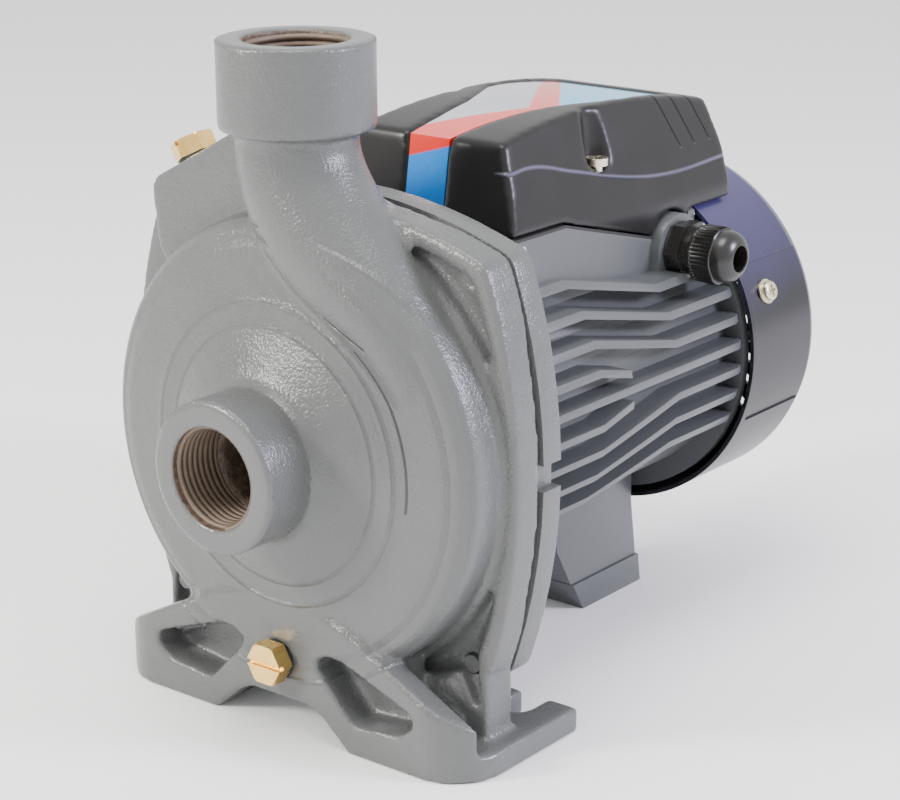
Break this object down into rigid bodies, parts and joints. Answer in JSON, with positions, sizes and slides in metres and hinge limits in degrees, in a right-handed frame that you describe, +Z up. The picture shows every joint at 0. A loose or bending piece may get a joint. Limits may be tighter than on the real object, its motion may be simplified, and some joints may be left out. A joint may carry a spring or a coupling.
{
  "type": "centrifugal water pump",
  "caption": "Close-coupled centrifugal water pump: volute body with foot, front suction port and top discharge port, driven by a finned fan-cooled motor with terminal box.",
  "frame": {"origin": "on the base plane, below the middle of the pump's length and width", "axes": "+X to the right as seen from the suction port, +Y along the shaft from the suction port to the fan, +Z up along the discharge port"},
  "size_m": [0.1626, 0.258, 0.226],
  "materials": {
    "cast_paint": "satin",
    "housing_paint": "satin",
    "cover_paint": "satin",
    "black_plastic": "satin",
    "trim": "gloss",
    "fan_plastic": "matte",
    "brass": "satin",
    "winding": "varnished",
    "steel": "satin",
    "zinc_steel": "satin",
    "cast_shield": "cast",
    "laminations": "matte",
    "seal_rubber": "matte",
    "seal_ceramic": "polished",
    "seal_carbon": "polished",
    "capacitor_case": "gloss"
  },
  "bodies": {
    "pump": {"pump_body": "cast_paint", "motor_bracket": "cast_paint", "motor_housing": "housing_paint", "rear_shield": "cast_shield", "fan_cover": "cover_paint", "terminal_cover": "black_plastic", "cover_trim_strip": "trim", "terminal_block": "black_plastic", "gland_body": "black_plastic", "terminal_studs": "brass", "stator_windings": "winding", "stator_core": "laminations", "fan_cover_screws": "zinc_steel", "fan_cover_washers": "zinc_steel", "terminal_cover_screws": "zinc_steel", "body_bolts": "zinc_steel", "tie_rods": "zinc_steel", "earth_screw": "zinc_steel", "seal_stationary_ring": "seal_ceramic", "run_capacitor": "capacitor_case", "body_o_ring": "seal_rubber", "seal_cup": "seal_rubber", "terminal_gasket": "seal_rubber", "gland_gasket": "seal_rubber", "front_bearing_outer_ring": "steel", "rear_bearing_outer_ring": "steel", "wave_washer": "steel", "capacitor_clamp": "steel"},
    "rotor": {"shaft": "steel", "impeller": "brass", "impeller_key": "steel", "impeller_nut": "steel", "impeller_washer": "steel", "seal_retainer": "steel", "seal_spring": "steel", "seal_bellows": "seal_rubber", "seal_rotary_ring": "seal_carbon", "water_slinger": "seal_rubber", "front_bearing_inner_ring": "steel", "rear_bearing_inner_ring": "steel", "rotor_core": "laminations", "rotor_end_rings": "cast_shield", "cooling_fan": "fan_plastic", "fan_clip": "steel"},
    "front_balls": {"front_bearing_balls": "steel", "front_bearing_cage": "fan_plastic"},
    "rear_balls": {"rear_bearing_balls": "steel", "rear_bearing_cage": "fan_plastic"},
    "priming_washer": {"priming_plug_washer": "seal_rubber"},
    "priming_screw": {"priming_plug": "brass"},
    "drain_washer": {"drain_plug_washer": "seal_rubber"},
    "drain_screw": {"drain_plug": "brass"},
    "gland_bush": {"gland_seal": "seal_rubber"},
    "gland_nut": {"gland_dome_nut": "black_plastic"}
  },
  "joints": [
    {"name": "rotor_spin", "type": "hinge", "parent": "pump", "child": "rotor", "pos_m": [0, -0.0575, 0.095], "axis": [0, 1, 0], "continuous": true},
    {"name": "front_balls_roll", "type": "hinge", "parent": "pump", "child": "front_balls", "pos_m": [0, -0.046, 0.095], "axis": [0, 1, 0], "continuous": true},
    {"name": "rear_balls_roll", "type": "hinge", "parent": "pump", "child": "rear_balls", "pos_m": [0, 0.078, 0.095], "axis": [0, 1, 0], "continuous": true},
    {"name": "priming_plug_travel", "type": "slide", "parent": "pump", "child": "priming_washer", "axis": [-0.4759, 0, 0.8795], "range_m": [0, 0.00816]},
    {"name": "priming_plug_turn", "type": "hinge", "parent": "priming_washer", "child": "priming_screw", "pos_m": [-0.05249, -0.076, 0.18028], "axis": [-0.4759, 0, 0.8795], "range_deg": [0, 3242]},
    {"name": "drain_plug_travel", "type": "slide", "parent": "pump", "child": "drain_washer", "axis": [0, -1, 0], "range_m": [0, 0.00816]},
    {"name": "drain_plug_turn", "type": "hinge", "parent": "drain_washer", "child": "drain_screw", "pos_m": [0, -0.101, 0.0255], "axis": [0, -1, 0], "range_deg": [0, 3242]},
    {"name": "gland_nut_travel", "type": "slide", "parent": "pump", "child": "gland_bush", "axis": [1, 0, 0], "range_m": [0, 0.006]},
    {"name": "gland_nut_turn", "type": "hinge", "parent": "gland_bush", "child": "gland_nut", "pos_m": [0.0425, 0.0655, 0.1363], "axis": [1, 0, 0], "range_deg": [0, 1442]}
  ],
  "couplings": [
    {"joint": "front_balls_roll", "follows": "rotor_spin", "ratio": 0.384},
    {"joint": "rear_balls_roll", "follows": "rotor_spin", "ratio": 0.384},
    {"joint": "priming_plug_turn", "follows": "priming_plug_travel", "rad_per_m": 6927.4},
    {"joint": "drain_plug_turn", "follows": "drain_plug_travel", "rad_per_m": 6927.4},
    {"joint": "gland_nut_turn", "follows": "gland_nut_travel", "rad_per_m": 4188.8}
  ]
}
